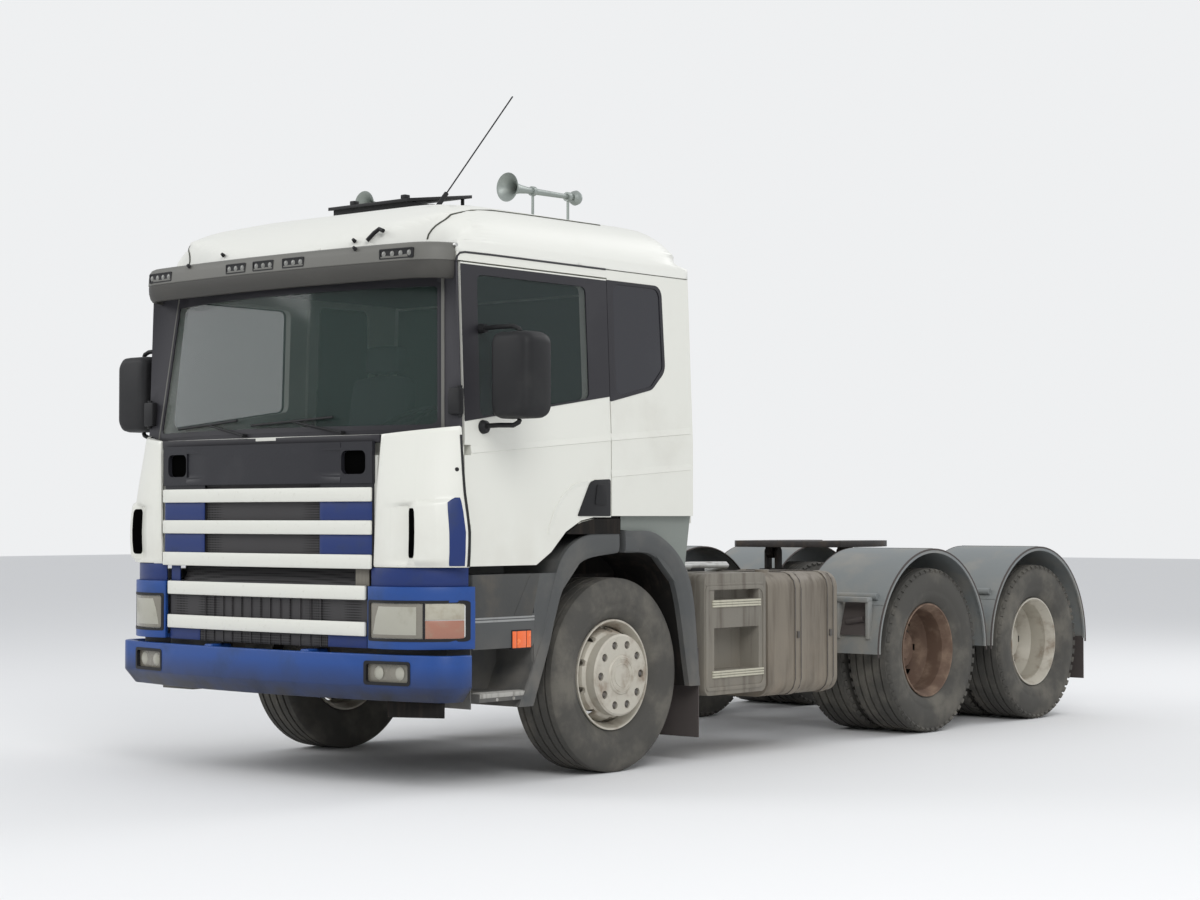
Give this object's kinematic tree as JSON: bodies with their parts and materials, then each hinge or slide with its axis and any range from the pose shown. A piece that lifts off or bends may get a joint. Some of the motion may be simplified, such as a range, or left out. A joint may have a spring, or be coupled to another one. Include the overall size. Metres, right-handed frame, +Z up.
{
  "type": "tractor unit",
  "caption": "Cab-over road tractor with a tilting sleeper cab, opening doors and front lid, steered front wheels, twin rear wheels and a rocking coupling plate.",
  "frame": {"origin": "on the ground under the middle of the overall length and width", "axes": "+X to the truck's left side, -Y to the front, +Z up"},
  "size_m": [3.196, 6.7, 3.7369],
  "materials": {
    "cab_paint": "satin off-white paint, dusty at the lower edges",
    "grey_plastic": "grey moulded plastic, matt and dusty",
    "visor_plastic": "smoky grey plastic, matt",
    "black_plastic": "black plastic, matt",
    "dark_panel": "dark semi-gloss panel with white bars",
    "blue_paint": "blue paint, worn at the edges",
    "chassis_paint": "dark chassis paint with road dirt",
    "cast_axle": "cast and forged steel, dirty",
    "engine_metal": "plain grey casting",
    "tyre_rubber": "road rubber with dried mud on the side walls",
    "wheel_silver": "silver-beige wheel paint, dusty",
    "wheel_rust": "wheel paint with rust and dried mud",
    "side_box_metal": "beige-grey paint with dust and streaks",
    "guard_plastic": "grey-blue plastic, patchy with dried mud",
    "mesh_metal": "brown-grey mesh",
    "clear_glass": "tinted green-grey glass",
    "lamp_lens": "clear and orange lamp lenses",
    "flap_rubber": "black rubber, matt",
    "seat_cloth": "dark woven cloth",
    "horn_metal": "grey-green painted horn metal",
    "coupling_steel": "dark greasy cast steel"
  },
  "bodies": {
    "chassis": {"frame_rails": "chassis_paint", "crossmembers": "chassis_paint", "cab_mounts": "chassis_paint", "front_axle": "cast_axle", "front_springs": "cast_axle", "engine_block": "engine_metal", "prop_shafts": "cast_axle", "drive_axles": "cast_axle", "rear_suspension": "cast_axle", "bumper": "blue_paint", "front_lamps": "lamp_lens", "lower_grille": "mesh_metal", "headlamp_frames": "blue_paint", "rear_flares": "grey_plastic", "mudflaps": "flap_rubber", "step_box": "side_box_metal", "fuel_tank": "side_box_metal", "silencer": "side_box_metal", "rear_mudguards": "guard_plastic", "tail_lamps": "lamp_lens", "fifth_wheel_base": "coupling_steel"},
    "cab": {"cab_shell": "cab_paint", "roof_shell": "cab_paint", "cab_glass": "clear_glass", "sun_visor": "visor_plastic", "corner_panels": "cab_paint", "wipers": "black_plastic", "dashboard": "black_plastic", "seats": "seat_cloth", "roof_hatch": "black_plastic", "air_horns": "horn_metal", "antenna": "black_plastic", "cab_steps": "grey_plastic", "rear_deflectors": "grey_plastic"},
    "door_left": {"door_left": "cab_paint", "door_glass_left": "clear_glass", "mirror_left": "black_plastic"},
    "door_right": {"door_right": "cab_paint", "door_glass_right": "clear_glass", "mirror_right": "black_plastic"},
    "front_lid": {"lid_panel": "dark_panel", "lid_grille": "mesh_metal"},
    "knuckle_left": {"knuckle_left": "cast_axle"},
    "knuckle_right": {"knuckle_right": "cast_axle"},
    "tie_rod": {"tie_rod": "cast_axle"},
    "front_wheel_left": {"front_tyre_left": "tyre_rubber", "front_rim_left": "wheel_silver"},
    "front_wheel_right": {"front_tyre_right": "tyre_rubber", "front_rim_right": "wheel_silver"},
    "rear_wheels_2_left": {"rear_tyres_2_left": "tyre_rubber", "rear_rims_2_left": "wheel_rust"},
    "rear_wheels_2_right": {"rear_tyres_2_right": "tyre_rubber", "rear_rims_2_right": "wheel_rust"},
    "rear_wheels_3_left": {"rear_tyres_3_left": "tyre_rubber", "rear_rims_3_left": "wheel_silver"},
    "rear_wheels_3_right": {"rear_tyres_3_right": "tyre_rubber", "rear_rims_3_right": "wheel_silver"},
    "fifth_wheel": {"fifth_wheel_plate": "coupling_steel"}
  },
  "joints": [
    {"name": "steer_left", "type": "hinge", "parent": "chassis", "child": "knuckle_left", "pos_m": [0.925, -1.78, 0.525], "axis": [0, 0, 1], "range_deg": [-40, 40]},
    {"name": "steer_right", "type": "hinge", "parent": "chassis", "child": "knuckle_right", "pos_m": [-0.925, -1.78, 0.525], "axis": [0, 0, 1], "range_deg": [-40, 40]},
    {"name": "tie_rod_swing", "type": "hinge", "parent": "knuckle_left", "child": "tie_rod", "pos_m": [0.925, -1.59, 0.43], "axis": [0, 0, 1], "range_deg": [-40, 40]},
    {"name": "front_wheel_left_spin", "type": "hinge", "parent": "knuckle_left", "child": "front_wheel_left", "pos_m": [1.03, -1.78, 0.525], "axis": [1, 0, 0], "continuous": true},
    {"name": "front_wheel_right_spin", "type": "hinge", "parent": "knuckle_right", "child": "front_wheel_right", "pos_m": [-1.03, -1.78, 0.525], "axis": [1, 0, 0], "continuous": true},
    {"name": "rear_wheels_2_left_spin", "type": "hinge", "parent": "chassis", "child": "rear_wheels_2_left", "pos_m": [0.905, 1.32, 0.525], "axis": [1, 0, 0], "continuous": true},
    {"name": "rear_wheels_2_right_spin", "type": "hinge", "parent": "chassis", "child": "rear_wheels_2_right", "pos_m": [-0.905, 1.32, 0.525], "axis": [1, 0, 0], "continuous": true},
    {"name": "rear_wheels_3_left_spin", "type": "hinge", "parent": "chassis", "child": "rear_wheels_3_left", "pos_m": [0.905, 2.67, 0.525], "axis": [1, 0, 0], "continuous": true},
    {"name": "rear_wheels_3_right_spin", "type": "hinge", "parent": "chassis", "child": "rear_wheels_3_right", "pos_m": [-0.905, 2.67, 0.525], "axis": [1, 0, 0], "continuous": true},
    {"name": "cab_tilt", "type": "hinge", "parent": "chassis", "child": "cab", "pos_m": [0, -3.14, 0.98], "axis": [1, 0, 0], "range_deg": [0, 60]},
    {"name": "door_left_swing", "type": "hinge", "parent": "cab", "child": "door_left", "pos_m": [1.19, -3.005, 1.5], "axis": [0, 0, -1], "range_deg": [0, 75]},
    {"name": "door_right_swing", "type": "hinge", "parent": "cab", "child": "door_right", "pos_m": [-1.19, -3.005, 1.5], "axis": [0, 0, 1], "range_deg": [0, 75]},
    {"name": "front_lid_lift", "type": "hinge", "parent": "cab", "child": "front_lid", "pos_m": [0, -3.264, 1.745], "axis": [-1, 0, 0], "range_deg": [0, 85]},
    {"name": "fifth_wheel_rock", "type": "hinge", "parent": "chassis", "child": "fifth_wheel", "pos_m": [0, 1.7, 1.135], "axis": [1, 0, 0], "range_deg": [-12, 12]}
  ],
  "couplings": [
    {"joint": "steer_right", "follows": "steer_left", "ratio": 1},
    {"joint": "tie_rod_swing", "follows": "steer_left", "ratio": -1}
  ]
}
